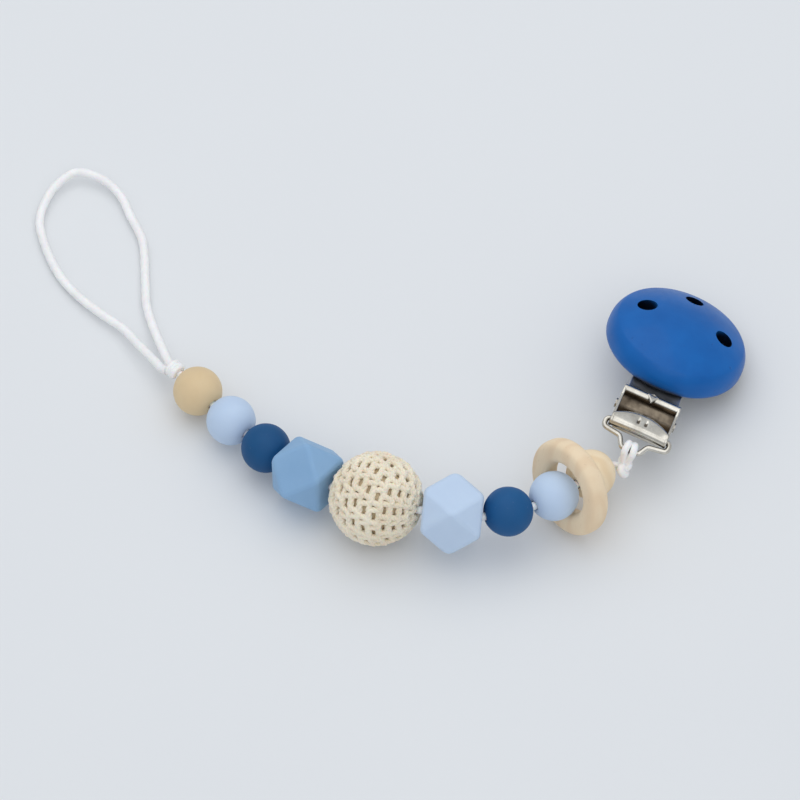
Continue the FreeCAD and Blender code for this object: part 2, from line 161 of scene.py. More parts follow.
def loop_matrix():
    """The soother loop's level frame: X out from the knot, Y to the left, Z = 0 on the table."""
    y = axis_of("loop_lift")
    x = y.cross(Vector((0, 0, 1)))
    knot = spot("loop_lift")
    return frame_matrix(Vector((knot.x, knot.y, 0)), x, y, Vector((0, 0, 1)))


# ---------------------------------------------------------------- mesh tools (sizes in millimetres)

def mesh_piece(name, points, faces, material, place=None, slot=None):
    """A smooth-shaded piece from points in millimetres, set into place in the row frame."""
    mesh = bpy.data.meshes.new(name)
    mesh.from_pydata([tuple(c * MM for c in p) for p in points], [], faces)
    mesh.validate()
    bm = bmesh.new()
    bm.from_mesh(mesh)
    bmesh.ops.recalc_face_normals(bm, faces=bm.faces)
    bm.to_mesh(mesh)
    bm.free()
    if place is not None:
        mesh.transform(place)
    mesh.polygons.foreach_set("use_smooth", [True] * len(mesh.polygons))
    mesh.materials.append(material)
    piece = bpy.data.objects.new(name, mesh)
    bpy.context.scene.collection.objects.link(piece)
    return piece


def lathe(profile, steps, closed=True):
    """Faces of a profile of (x, radius) turned about X. A closed profile gives a ring-like solid."""
    rows = len(profile)
    points = []
    for x, radius in profile:
        for k in range(steps):
            a = 2 * math.pi * k / steps
            points.append((x, radius * math.cos(a), radius * math.sin(a)))
    faces = []
    for i in range(rows if closed else rows - 1):
        j = (i + 1) % rows
        for k in range(steps):
            n = (k + 1) % steps
            faces.append((i * steps + k, i * steps + n, j * steps + n, j * steps + k))
    return points, faces


def smooth_line(points, spacing, closed=False):
    """Points at an even spacing along a rounded line through the given points."""
    p = [np.array(q, float) for q in points]
    count = len(p)
    dense = []
    spans = count if closed else count - 1
    for i in range(spans):
        if closed:
            a, b, c, d = (p[(i + k) % count] for k in (-1, 0, 1, 2))
        else:
            b, c = p[i], p[i + 1]
            a = p[i - 1] if i else 2 * b - c
            d = p[i + 2] if i + 2 < count else 2 * c - b
        knots = [0.0]
        for u, v in ((a, b), (b, c), (c, d)):
            knots.append(knots[-1] + max(np.linalg.norm(v - u), 1e-6) ** 0.5)
        t0, t1, t2, t3 = knots
        for t in np.linspace(t1, t2, 24, endpoint=False):
            a1 = (t1 - t) / (t1 - t0) * a + (t - t0) / (t1 - t0) * b
            a2 = (t2 - t) / (t2 - t1) * b + (t - t1) / (t2 - t1) * c
            a3 = (t3 - t) / (t3 - t2) * c + (t - t2) / (t3 - t2) * d
            b1 = (t2 - t) / (t2 - t0) * a1 + (t - t0) / (t2 - t0) * a2
            b2 = (t3 - t) / (t3 - t1) * a2 + (t - t1) / (t3 - t1) * a3
            dense.append((t2 - t) / (t2 - t1) * b1 + (t - t1) / (t2 - t1) * b2)
    dense.append(p[0] if closed else p[-1])
    dense = np.array(dense)
    run = np.concatenate([[0], np.cumsum(np.linalg.norm(np.diff(dense, axis=0), axis=1))])
    samples = max(int(round(run[-1] / spacing)), 4)
    even = np.linspace(0, run[-1], samples + 1)
    line = np.stack([np.interp(even, run, dense[:, k]) for k in range(3)], 1)
    return line[:-1] if closed else line


def line_frames(line, closed=False):
    """Tangent and two side vectors at each point, turning as little as possible."""
    if closed:
        tangent = np.roll(line, -1, 0) - np.roll(line, 1, 0)
    else:
        tangent = np.gradient(line, axis=0)
    tangent /= np.linalg.norm(tangent, axis=1)[:, None]
    side = np.zeros_like(line)
    start = np.array([0.0, 0.0, 1.0])
    if abs(tangent[0] @ start) > 0.9:
        start = np.array([1.0, 0.0, 0.0])
    side[0] = start - tangent[0] * (start @ tangent[0])
    side[0] /= np.linalg.norm(side[0])
    for i in range(1, len(line)):
        v = side[i - 1] - tangent[i] * (side[i - 1] @ tangent[i])
        side[i] = v / np.linalg.norm(v)
    return tangent, side, np.cross(tangent, side)


def tube(line, radius, sides, closed=False, relief=None):
    """Points and faces of a round bar along a line. relief(run, angle) is added to its radius."""
    _, side, other = line_frames(line, closed)
    count = len(line)
    run = np.concatenate([[0], np.cumsum(np.linalg.norm(np.diff(line, axis=0), axis=1))])
    radii = np.broadcast_to(np.asarray(radius, float), (count,))
    angle = np.arange(sides) * 2 * math.pi / sides
    grow = np.zeros((count, sides)) if relief is None else relief(run[:, None], angle[None, :])
    r = radii[:, None] + grow
    points = (line[:, None, :] + side[:, None, :] * (np.cos(angle)[None, :] * r)[:, :, None]
              + other[:, None, :] * (np.sin(angle)[None, :] * r)[:, :, None])
    faces = []
    for i in range(count if closed else count - 1):
        j = (i + 1) % count
        for k in range(sides):
            n = (k + 1) % sides
            faces.append((i * sides + k, j * sides + k, j * sides + n, i * sides + n))
    if not closed:
        faces.append(tuple(range(sides)))
        faces.append(tuple((count - 1) * sides + k for k in reversed(range(sides))))
    return points.reshape(-1, 3), faces


def merged(shapes):
    """One list of points and faces from several."""
    points, faces = [], []
    for p, f in shapes:
        base = len(points)
        points.extend([tuple(q) for q in p])
        faces.extend([tuple(v + base for v in face) for face in f])
    return points, faces


def soften_edges(piece, width, segments, degrees):
    """Rounds the edges that are sharper than an angle."""
    soften = piece.modifiers.new("edges", "BEVEL")
    soften.width = width * MM
    soften.segments = segments
    soften.limit_method = "ANGLE"
    soften.angle_limit = math.radians(degrees)


def drill(piece, start, end, radius, sides):
    """Cuts a round hole through a piece. Gives the cutter, which goes once the cut is applied."""
    cutter = mesh_piece("cutter", *tube(np.array([start, end]), radius, sides), piece.data.materials[0])
    cut = piece.modifiers.new("hole", "BOOLEAN")
    cut.object = cutter
    cut.solver = "EXACT"
    return cutter


def apply_modifiers(piece, cutters=()):
    depsgraph = bpy.context.evaluated_depsgraph_get()
    depsgraph.update()
    final = bpy.data.meshes.new_from_object(piece.evaluated_get(depsgraph))
    piece.modifiers.clear()
    piece.data = final
    for cutter in cutters:
        bpy.data.objects.remove(cutter)


def drop_flat_faces(piece):
    """Removes the faces without area that a bore and its rounded rim leave."""
    bm = bmesh.new()
    bm.from_mesh(piece.data)
    bmesh.ops.remove_doubles(bm, verts=bm.verts, dist=0.02 * MM)
    bmesh.ops.dissolve_degenerate(bm, dist=0.01 * MM, edges=bm.edges)
    bm.to_mesh(piece.data)
    bm.free()


def shade_smooth(piece):
    piece.data.polygons.foreach_set("use_smooth", [True] * len(piece.data.polygons))


# ---------------------------------------------------------------- material tools

class Shader:
    """A material's node tree, with short calls for the nodes used here."""

    def __init__(self, name):
        self.material = bpy.data.materials.new(name)
        self.material.use_nodes = True
        self.tree = self.material.node_tree
        self.tree.nodes.clear()
        self.out = self.tree.nodes.new("ShaderNodeOutputMaterial")
        self.bsdf = self.tree.nodes.new("ShaderNodeBsdfPrincipled")
        self.tree.links.new(self.bsdf.outputs[0], self.out.inputs[0])
        self.coords = self.tree.nodes.new("ShaderNodeTexCoord").outputs["Object"]

    def set(self, socket, value):
        if isinstance(value, bpy.types.NodeSocket):
            self.tree.links.new(value, socket)
        elif isinstance(value, (tuple, list)) and len(value) == 3 and len(socket.default_value) == 4:
            socket.default_value = (*value, 1.0)
        else:
            socket.default_value = value

    def add(self, kind, output=0, settings=None, **inputs):
        node = self.tree.nodes.new(kind)
        for key, value in (settings or {}).items():
            setattr(node, key, value)
        for key, value in inputs.items():
            name = key.replace("_", " ")
            self.set(node.inputs[name], value)
        return node.outputs[output]

    def surface(self, **inputs):
        for key, value in inputs.items():
            self.set(self.bsdf.inputs[key.replace("_", " ")], value)

    def scaled(self, scale, turn=(0, 0, 0), source=None):
        return self.add("ShaderNodeMapping", Vector=source or self.coords, Scale=scale,
                        Rotation=tuple(math.radians(a) for a in turn))

    def noise(self, scale, detail=3.0, roughness=0.5, distortion=0.0, vector=None, output=0):
        return self.add("ShaderNodeTexNoise", output, Vector=vector or self.coords, Scale=scale,
                        Detail=detail, Roughness=roughness, Distortion=distortion)

    def math(self, operation, a, b=0.0, clamp=False):
        node = self.tree.nodes.new("ShaderNodeMath")
        node.operation = operation
        node.use_clamp = clamp
        self.set(node.inputs[0], a)
        self.set(node.inputs[1], b)
        return node.outputs[0]

    def ramp(self, value, low, high, to_low=0.0, to_high=1.0):
        node = self.tree.nodes.new("ShaderNodeMapRange")
        for index, item in enumerate((value, low, high, to_low, to_high)):
            self.set(node.inputs[index], item)
        return node.outputs[0]

    def mix(self, share, a, b, blend="MIX"):
        node = self.tree.nodes.new("ShaderNodeMix")
        node.data_type = "RGBA"
        node.blend_type = blend
        self.set(node.inputs[0], share)
        self.set(node.inputs[6], a)
        self.set(node.inputs[7], b)
        return node.outputs[2]

    def bump(self, height, distance, strength=1.0, normal=None):
        node = self.tree.nodes.new("ShaderNodeBump")
        self.set(node.inputs["Height"], height)
        node.inputs["Distance"].default_value = distance
        node.inputs["Strength"].default_value = strength
        if normal is not None:
            self.set(node.inputs["Normal"], normal)
        return node.outputs[0]


def rgb(r, g, b):
    """Linear colour from 0-255 display values."""
    def linear(c):
        c /= 255
        return c / 12.92 if c <= 0.04045 else ((c + 0.055) / 1.055) ** 2.4
    return (linear(r), linear(g), linear(b))


def silicone(name, colour, dark, sheen=0.12):
    """Matt moulded silicone: soft sheen, faint mottling and a fine moulded texture."""
    s = Shader(name)
    cloud = s.noise(90, 4, 0.55)
    fine = s.noise(2600, 2, 0.6)
    specks = s.ramp(s.noise(1500, 1, 0.4), 0.72, 0.80)
    tone = s.mix(s.ramp(cloud, 0.3, 0.7), dark, colour)
    tone = s.mix(s.math("MULTIPLY", specks, 0.03), tone, rgb(235, 235, 235))
    s.surface(Base_Color=tone, Roughness=s.ramp(cloud, 0.3, 0.7, 0.52, 0.62))
    s.surface(Subsurface_Weight=0.22, Subsurface_Scale=0.0016, Subsurface_Radius=(1.0, 0.95, 0.9))
    s.surface(Sheen_Weight=sheen, Sheen_Roughness=0.5, Sheen_Tint=colour, Specular_IOR_Level=0.30)
    s.surface(Normal=s.bump(fine, 0.00002, 0.5, s.bump(cloud, 0.00025, 0.35)))
    return s.material


def wood(name, pale, grain, turn, banding=0.55, scale=95.0):
    """Untreated sanded wood: growth bands, fine fibres, pores and a dry surface."""
    s = Shader(name)
    along = s.scaled((1.0, 1.0, 0.16), turn)
    warp = s.noise(60, 3, 0.5, 0.0, along, 1)
    bent = s.add("ShaderNodeVectorMath", 0, {"operation": "MULTIPLY_ADD"})
    node = bent.node
    s.set(node.inputs[0], warp)
    node.inputs[1].default_value = (0.010, 0.010, 0.010)
    s.set(node.inputs[2], along)
    bands = s.add("ShaderNodeTexWave", 1, {"wave_type": "BANDS", "bands_direction": "X"}, Vector=bent,
                  Scale=scale, Distortion=1.2, Detail=2.0, Detail_Scale=1.5)
    fibre = s.noise(1.0, 4, 0.65, 0.0, s.scaled((2600, 2600, 160), turn))
    pores = s.ramp(s.noise(1.0, 2, 0.5, 0.0, s.scaled((1700, 1700, 220), turn)), 0.66, 0.74)
    cloud = s.noise(70, 3, 0.6)
    tone = s.mix(s.math("MULTIPLY", s.ramp(bands, 0.35, 0.95), banding), pale, grain)
    tone = s.mix(s.math("MULTIPLY", fibre, 0.22), tone, grain)
    tone = s.mix(s.math("MULTIPLY", s.ramp(cloud, 0.35, 0.75), 0.25), tone, rgb(250, 232, 204))
    tone = s.mix(s.math("MULTIPLY", pores, 0.14), tone, rgb(176, 142, 106))
    height = s.math("SUBTRACT", s.math("MULTIPLY", fibre, 0.6), s.math("MULTIPLY", pores, 0.3))
    s.surface(Base_Color=tone, Roughness=s.ramp(fibre, 0.2, 0.8, 0.55, 0.72), Specular_IOR_Level=0.35)
    s.surface(Normal=s.bump(height, 0.00006, 0.8))
    return s.material


def painted_wood():
    """Satin blue paint on turned wood: soft gloss, brush-fine ripple, paint nibs and painted shade that darkens
    the vent holes and other recesses.
    """
    s = Shader("painted_wood")
    cloud = s.noise(120, 3, 0.5)
    ripple = s.noise(520, 3, 0.55)
    grain = s.noise(1.0, 3, 0.6, 0.0, s.scaled((900, 120, 900), (0, 0, 20)))
    nibs = s.ramp(s.noise(700, 1, 0.3), 0.735, 0.78)
    tone = s.mix(s.ramp(cloud, 0.3, 0.7), rgb(0, 92, 170), rgb(4, 101, 181))
    tone = s.mix(s.math("MULTIPLY", nibs, 0.25), tone, rgb(14, 62, 128))
    # Painted shade: the blue darkens to near-black navy where ambient occlusion finds a recess, such as inside the
    # vent holes.
    painted_recess_shade = s.add("ShaderNodeAmbientOcclusion", 1, {"samples": 8}, Distance=0.0100)
    tone = s.mix(s.ramp(painted_recess_shade, 0.42, 0.80), rgb(3, 14, 30), tone)
    height = s.math("ADD", s.math("MULTIPLY", ripple, 0.35), s.math("MULTIPLY", nibs, 0.8))
    height = s.math("ADD", height, s.math("MULTIPLY", grain, 0.25))
    s.surface(Base_Color=tone, Roughness=s.ramp(ripple, 0.3, 0.7, 0.40, 0.48), Specular_IOR_Level=0.2)
    s.surface(Coat_Weight=0.16, Coat_Roughness=0.14)
    s.surface(Normal=s.bump(height, 0.00006, 0.7))
    return s.material


def nickel(name, bright, dull, shade=rgb(96, 86, 74), matt=0.0):
    """Nickel-plated steel: warm grey metal, rounded edges, hairline scratches, dulled patches and painted shade
    that darkens its recesses.
    """
    s = Shader(name)
    edge = s.add("ShaderNodeBevel", 0, {"samples": 6}, Radius=0.00018)
    cloud = s.noise(260, 4, 0.6)
    lines_a = s.noise(1.0, 2, 0.5, 0.0, s.scaled((9000, 260, 9000), (0, 0, 25)))
    lines_b = s.noise(1.0, 2, 0.5, 0.0, s.scaled((300, 8000, 8000), (10, 0, -15)))
    scratch = s.math("MAXIMUM", s.ramp(lines_a, 0.70, 0.78), s.ramp(lines_b, 0.72, 0.80))
    tone = s.mix(s.ramp(cloud, 0.35, 0.75), bright, dull)
    # Painted shade: the colour darkens towards the shade colour where ambient occlusion finds a recess.
    painted_recess_shade = s.add("ShaderNodeAmbientOcclusion", 1, {"samples": 8}, Distance=0.0030)
    tone = s.mix(s.ramp(painted_recess_shade, 0.25, 0.80), shade, tone)
    rough = s.ramp(cloud, 0.3, 0.75, 0.12 + matt, 0.28 + matt)
    rough = s.math("ADD", rough, s.math("MULTIPLY", scratch, 0.18))
    s.surface(Base_Color=tone, Metallic=1.0, Roughness=rough)
    s.surface(Normal=s.bump(scratch, 0.000012, 0.6, edge))
    return s.material


def plastic():
    """Milky moulded plastic."""
    s = Shader("insert_plastic")
    cloud = s.noise(300, 3, 0.5)
    tone = s.mix(cloud, rgb(228, 228, 222), rgb(244, 244, 240))
    edge = s.add("ShaderNodeBevel", 0, {"samples": 4}, Radius=0.00012)
    s.surface(Base_Color=tone, Roughness=s.ramp(cloud, 0.3, 0.7, 0.38, 0.5))
    s.surface(Subsurface_Weight=0.3, Subsurface_Scale=0.001)
    s.surface(Normal=s.bump(s.noise(3000, 2), 0.00001, 0.4, edge))
    return s.material


def yarn():
    """Cream cotton yarn: fibres, soft colour changes along the yarn and a fuzzy sheen."""
    s = Shader("cotton_yarn")
    cloud = s.noise(150, 3, 0.6)
    fibre = s.noise(3800, 3, 0.7)
    tone = s.mix(s.ramp(cloud, 0.3, 0.7), rgb(240, 223, 196), rgb(252, 239, 217))
    tone = s.mix(s.math("MULTIPLY", s.ramp(fibre, 0.35, 0.7), 0.35), tone, rgb(250, 240, 222))
    s.surface(Base_Color=tone, Roughness=0.92, Specular_IOR_Level=0.15)
    s.surface(Sheen_Weight=0.45, Sheen_Roughness=0.5, Sheen_Tint=(1.0, 0.97, 0.92))
    s.surface(Subsurface_Weight=0.12, Subsurface_Scale=0.0008)
    s.surface(Normal=s.bump(fibre, 0.00006, 0.8))
    return s.material


def satin():
    """White satin cord: bright threads with a soft gloss."""
    s = Shader("satin_cord")
    cloud = s.noise(220, 3, 0.6)
    thread = s.noise(4200, 2, 0.6)
    tone = s.mix(s.ramp(cloud, 0.3, 0.7), rgb(244, 243, 242), rgb(255, 254, 253))
    s.surface(Base_Color=tone, Roughness=s.ramp(thread, 0.3, 0.7, 0.36, 0.55), Specular_IOR_Level=0.5)
    s.surface(Sheen_Weight=0.3, Sheen_Roughness=0.35, Subsurface_Weight=0.15, Subsurface_Scale=0.0006)
    s.surface(Normal=s.bump(thread, 0.00003, 0.6))
    return s.material


def materials():
    return {
        "natural_wood": wood("natural_wood", rgb(250, 230, 196), rgb(232, 202, 158), (0, 90, 30)),
        "ring_wood": wood("ring_wood", rgb(244, 223, 190), rgb(226, 192, 153), (0, 90, 30), 0.34, 130.0),
        "core_wood": wood("core_wood", rgb(214, 198, 166), rgb(192, 172, 136), (90, 0, 0)),
        "painted_wood": painted_wood(),
        "nickel_steel": nickel("nickel_steel", rgb(222, 218, 208), rgb(186, 180, 168)),
        # Darker copy of the steel for the hollow and the dimples: painted shade and dark reflection.
        "nickel_hollow_painted_shade": nickel("nickel_hollow_painted_shade", rgb(136, 124, 108), rgb(50, 42, 34)),
        # Lighter copy of the steel for the neck, with its recess darkening nearly off: painted light and
        # reflection.
        "nickel_neck_painted_light": nickel("nickel_neck_painted_light", rgb(240, 240, 240), rgb(214, 216, 220),
                              shade=rgb(206, 208, 214), matt=0.24),
        "insert_plastic": plastic(),
        "light_blue_silicone": silicone("light_blue_silicone", rgb(198, 217, 239), rgb(192, 211, 235)),
        "dark_blue_silicone": silicone("dark_blue_silicone", rgb(20, 88, 142), rgb(16, 80, 132), 0.05),
        "mid_blue_silicone": silicone("mid_blue_silicone", rgb(144, 181, 216), rgb(136, 174, 210)),
        "navy_silicone": silicone("navy_silicone", rgb(16, 82, 132), rgb(12, 74, 122), 0.05),
        "oatmeal_silicone": silicone("oatmeal_silicone", rgb(228, 204, 164), rgb(220, 195, 155)),
        "cotton_yarn": yarn(),
        "satin_cord": satin(),
    }


# ---------------------------------------------------------------- beads

def ball_profile(radius, bore, lip, rows):
    """Closed section of a bored ball about X: outside, rounded mouths and bore."""
    start = math.asin((bore + lip) / radius)
    outside = [(-radius * math.cos(a), radius * math.sin(a))
               for a in np.linspace(start, math.pi - start, rows)]
    mouth_x = radius * math.cos(start)
    mouth = [(mouth_x - lip * (1 - math.cos(a)) * 0.9, bore + lip - lip * math.sin(a))
             for a in np.linspace(0.3, math.pi / 2, 5)]
    wall = [(x, bore) for x in np.linspace(mouth_x - 1.6, -mouth_x + 1.6, 7)]
    other = [(-x, r) for x, r in reversed(mouth)]
    return outside + mouth + wall + other


def uneven(points, amount, scale, seed):
    """Moves each point in or out a little, so that a soft part is not a perfect shape."""
    moved = []
    for p in points:
        v = Vector(p)
        n = noise.noise(v * scale + Vector((seed, seed * 2, 0)))
        moved.append(tuple(v * (1 + amount * n / max(v.length, 1e-6))))
    return moved


def build_beads(mats):
    for seed, (name, kind, roll, material) in enumerate(BEADS):
        if kind == "crochet":
            continue
        if kind == "round":
            piece = round_bead(name, mats[material], seed)
        else:
            piece = hex_bead(name, roll, mats[material])
        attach(piece, name)
        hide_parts(name)


def round_bead(name, material, seed):
    points, faces = lathe(ball_profile(ROUND_RADIUS, BORE, 0.45, 49), 72)
    points = uneven(points, 0.05, 0.25, seed)
    return mesh_piece(name + ".ball", points, faces, material, bead_matrix(name))


def hex_bead(name, roll, material):
    """Faceted bead: twelve corners, softened edges, and a bore through two square faces."""
    corners = []
    for a in (-HEX_HALF, HEX_HALF):
        for b in (-HEX_HALF, HEX_HALF):
            corners += [(a, b, 0), (a, 0, b), (0, a, b)]
    bm = bmesh.new()
    for corner in corners:
        bm.verts.new(corner)
    bmesh.ops.convex_hull(bm, input=bm.verts)
    bmesh.ops.dissolve_limit(bm, angle_limit=0.02, verts=bm.verts, edges=bm.edges)
    bmesh.ops.bevel(bm, geom=list(bm.edges), offset=0.85, segments=6, profile=0.5, affect="EDGES")
    bmesh.ops.scale(bm, vec=(MM, MM, MM), verts=bm.verts)
    mesh = bpy.data.meshes.new(name)
    bm.to_mesh(mesh)
    bm.free()
    mesh.materials.append(material)
    piece = bpy.data.objects.new(name + ".facets", mesh)
    bpy.context.scene.collection.objects.link(piece)
    cutter = drill(piece, (-12.0, 0, 0), (12.0, 0, 0), BORE, 40)
    soften_edges(piece, 0.35, 3, 60)
    apply_modifiers(piece, [cutter])
    drop_flat_faces(piece)
    piece.data.transform(bead_matrix(name, roll))
    shade_smooth(piece)
    normals = piece.modifiers.new("normals", "WEIGHTED_NORMAL")
    normals.keep_sharp = True
    return piece


# ---------------------------------------------------------------- crochet cover

CORE = 9.8              # radius of the wooden ball inside
ROUND_PITCH = 2.44
STITCH_PITCH = 4.9
ROUNDS_EACH_SIDE = 5
ROUND_SHIFT = 0.24      # of a stitch, from one round to the next
YARN_LEVEL = 10.45      # centre of the yarn that runs round, from the ball's centre
YARN_SPREAD = 0.32      # centre of the yarn to the centre of each ply
YARN_PLY = 0.48         # radius of one ply
YARN_TWIST = 0.30       # turns per millimetre


def on_ball(latitude, angle, radius):
    """Point on the crochet ball: latitude from the middle towards +X, angle round the cord."""
    return (radius * math.sin(latitude), radius * math.cos(latitude) * math.cos(angle),
            radius * math.cos(latitude) * math.sin(angle))


def twisted(line):
    """Three plies wound round a closed line."""
    _, side, other = line_frames(line, True)
    run = np.concatenate([[0], np.cumsum(np.linalg.norm(np.diff(line, axis=0), axis=1))])
    total = run[-1] + np.linalg.norm(line[0] - line[-1])
    turns = max(round(total * YARN_TWIST), 1)
    shapes = []
    for ply in range(3):
        a = 2 * math.pi * (run / total * turns + ply / 3)
        wound = line + YARN_SPREAD * (side * np.cos(a)[:, None] + other * np.sin(a)[:, None])
        shapes.append(tube(wound, YARN_PLY, 6, True))
    return merged(shapes)


def stitches_in(k):
    """Stitches in one round, and the round's latitude."""
    latitude = k * ROUND_PITCH / YARN_LEVEL
    around = 2 * math.pi * YARN_LEVEL * math.cos(latitude)
    return max(int(round(around / STITCH_PITCH)), 4), latitude


def wandering(k, angle):
    """Small hand-made unevenness that is the same for all the yarn near one place."""
    return noise.noise(Vector((k * 1.7, math.cos(angle) * 2.2, math.sin(angle) * 2.2)))


def crochet_belt(k):
    """Yarn that runs round the ball at the foot of one round of stitches."""
    stitches, latitude = stitches_in(k)
    points = []
    count = stitches * 8
    for i in range(count):
        angle = 2 * math.pi * i / count
        phase = stitches * angle - 2 * math.pi * ROUND_SHIFT * k
        w = wandering(k, angle)
        points.append(on_ball(latitude + 0.012 * math.sin(phase) + 0.012 * w, angle,
                              YARN_LEVEL + 0.12 * math.cos(phase) + 0.08 * w))
    return smooth_line(points, 0.26, True)


# One stitch: (share of the stitch along the round, share of the way to the next round, lift)
STITCH = [
    (0.00, -0.04, -0.10), (0.17, -0.07, 0.02), (0.34, -0.04, 0.12), (0.48, 0.20, 0.26), (0.53, 0.60, 0.22),
    (0.60, 0.97, 0.30), (0.70, 1.05, 0.36), (0.80, 0.95, 0.32), (0.83, 0.55, 0.16), (0.88, 0.15, 0.00),
]


def crochet_stitches(k):
    """Yarn of one round's stitches: it runs along the foot, climbs to the next round and comes back."""
    stitches, latitude = stitches_in(k)
    points = []
    for stitch in range(stitches):
        for along, up, lift in STITCH:
            angle = 2 * math.pi * (stitch + along + ROUND_SHIFT * k) / stitches
            w = wandering(k, angle)
            lat = latitude + (up + 0.08 * w) * ROUND_PITCH / YARN_LEVEL
            points.append(on_ball(lat, angle + 0.012 * w, YARN_LEVEL + lift + 0.08 * w))
    return smooth_line(points, 0.26, True)


def crochet_cover(mats):
    """The yarn in three pieces: the belts, and the stitches of the two halves of the ball."""
    rounds = range(-ROUNDS_EACH_SIDE, ROUNDS_EACH_SIDE + 1)
    belts = [crochet_belt(k) for k in rounds] + [crochet_belt(ROUNDS_EACH_SIDE + 0.85)]
    low = [crochet_stitches(k) for k in rounds if k < 0]
    high = [crochet_stitches(k) for k in rounds if k >= 0]
    pieces = []
    for name, lines in (("crochet_belts", belts), ("crochet_stitches_1", low), ("crochet_stitches_2", high)):
        points, faces = merged([twisted(line) for line in lines])
        pieces.append(mesh_piece(name, points, faces, mats["cotton_yarn"],
                                 bead_matrix("crochet_bead"), "cotton_yarn"))
    return pieces


def build_crochet(mats):
    for cover in crochet_cover(mats):
        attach(cover, "crochet_bead")
        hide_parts("crochet_bead_cover")
    points, faces = lathe(ball_profile(CORE, BORE, 0.5, 49), 72)
    core = mesh_piece("crochet_core_ball", points, faces, mats["core_wood"],
                      bead_matrix("crochet_bead"), "natural_wood")
    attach(core, "crochet_bead")
    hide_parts("crochet_bead_core")


# ---------------------------------------------------------------- cord, knots and ring

def braid(run, angle):
    """Relief of a woven satin cord: two sets of threads crossing on the surface."""
    a = np.sin(8 * angle + run * 5.2) * np.sin(8 * angle - run * 5.2)
    return 0.035 * a


def crinkle(run, angle):
    return braid(run, angle) + 0.03 * np.sin(run * 2.1 + 2 * angle) + 0.02 * np.sin(run * 5.3 + angle)


def fine_braid(run, angle):
    return 0.8 * braid(run, angle)


def fine_crinkle(run, angle):
    return 0.7 * crinkle(run, angle)


def build_cord(mats):
    """One length of cord from bend to bend for each bead. The lengths meet at each bend like ball joints."""
    bends = [spot("bend_" + name) / MM for name, _, _, _ in BEADS] + [spot("bend_loop_knot") / MM]
    cord_length("tail_cord_end", bends[0] + TAIL_KNOT, bends[0], TAIL_CORD, "tail", mats)
    for i, (name, _, _, _) in enumerate(BEADS):
        piece = cord_length("cord_through_" + name, bends[i], bends[i + 1], CORD, "string_" + name, mats)
        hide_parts("cord_in_" + name)
    cord_length("loop_cord_end", bends[-1], spot("loop_lift") / MM, CORD, "knot", mats)


def cord_length(name, start, end, half, body, mats):
    """Straight cord from start to end, with a round end centred on each."""
    along = (end - start).normalized()
    total = (end - start).length
    reach = np.linspace(-half, total + half, int((total + 2 * half) / 0.16))
    line = np.array([tuple(start + along * r) for r in reach])
    beyond = np.maximum(np.maximum(-reach, reach - total), 0) / half
    radius = half * np.sqrt(np.maximum(1 - beyond ** 2, 0.002))
    points, faces = tube(line, radius, 20, relief=lambda r, a: braid(r, a) * (1 - beyond[:, None]))
    piece = mesh_piece(name, points, faces, mats["satin_cord"], None, "satin_cord")
    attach(piece, body)
    return piece


def soother_loop(mats):
    points, faces = tube(smooth_line(LOOP_LINE, 0.22), LOOP_CORD, 28, relief=crinkle)
    place = loop_matrix()
    piece = mesh_piece("soother_loop_cord", points, faces, mats["satin_cord"], place, "satin_cord")
    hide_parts("soother_loop")
    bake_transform(piece)


def loop_knot(mats):
    """Cord wound round the neck of the loop."""
    height = spot("loop_lift").z / MM
    half_width, turns = 1.24, 2.58
    coil = []
    for t in np.linspace(0, 1, 47):
        a = 2 * math.pi * turns * t
        coil.append((half_width * (2 * t - 1), 1.55 * math.cos(a), height + 1.35 * math.sin(a)))
    points, faces = tube(smooth_line(coil, 0.2), 0.72, 18, relief=fine_crinkle)
    piece = mesh_piece("loop_knot_winding", points, faces, mats["satin_cord"], loop_matrix(), "satin_cord")
    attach(piece, "knot")
    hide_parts("loop_knot")


def tail(mats):
    """The cord's two turns round the wire, and the plump knot between them and the first bead."""
    eye = spot("tail_swing") / MM
    knot = spot("bend_wood_bead") / MM + TAIL_KNOT
    turns = [tail_turn(eye, knot, shift, lean) for shift, lean in ((-0.80, 0.25), (0.82, -0.2))]
    tail_piece("tail_cord_turns", turns, "tail_bight", mats)
    tail_piece("tail_knot_cord", [tail_knot(eye, knot)], "tail_knot", mats)


def tail_piece(name, shapes, node, mats):
    piece = mesh_piece(name, *merged(shapes), mats["satin_cord"], None, "satin_cord")
    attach(piece, "tail")
    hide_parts(node)


def tail_turn(eye, knot, shift, lean):
    """One turn round the wire, stretched towards the knot. It lies to one side and leans across."""
    wire = axis_of("tail_swing")
    down = (knot - eye).normalized()
    out = wire.cross(down).normalized()
    turn_radius = 1.6
    stretch = ((knot - eye).length - 2.6) / turn_radius
    line = []
    for i in range(40):
        a = 2 * math.pi * i / 40
        low = max(math.cos(a), 0.0)
        place = eye + down * (turn_radius * (1.0 + stretch * low ** 1.5) * math.cos(a))
        place += out * (turn_radius * (1.0 - 0.25 * low) * math.sin(a))
        place += wire * (shift * (1.0 - 0.5 * low) + lean * math.sin(a))
        line.append(tuple(place))
    return tube(smooth_line(line, 0.2, True), 0.86, 18, True, relief=fine_braid)


def tail_knot(eye, knot):
    """Trefoil knot, drawn tight."""
    down = (knot - eye).normalized()
    side = down.cross(Vector((1, 0, 0))).normalized()
    front = side.cross(down).normalized()
    line = []
    for i in range(120):
        t = 2 * math.pi * i / 120
        x = 0.64 * (math.cos(t) - 2 * math.cos(2 * t))
        y = 0.74 * (math.sin(t) + 2 * math.sin(2 * t))
        z = -0.80 * math.sin(3 * t)
        line.append(tuple(knot + down * x + side * y + front * z))
    return tube(smooth_line(line, 0.18, True), 0.92, 18, True, relief=fine_braid)


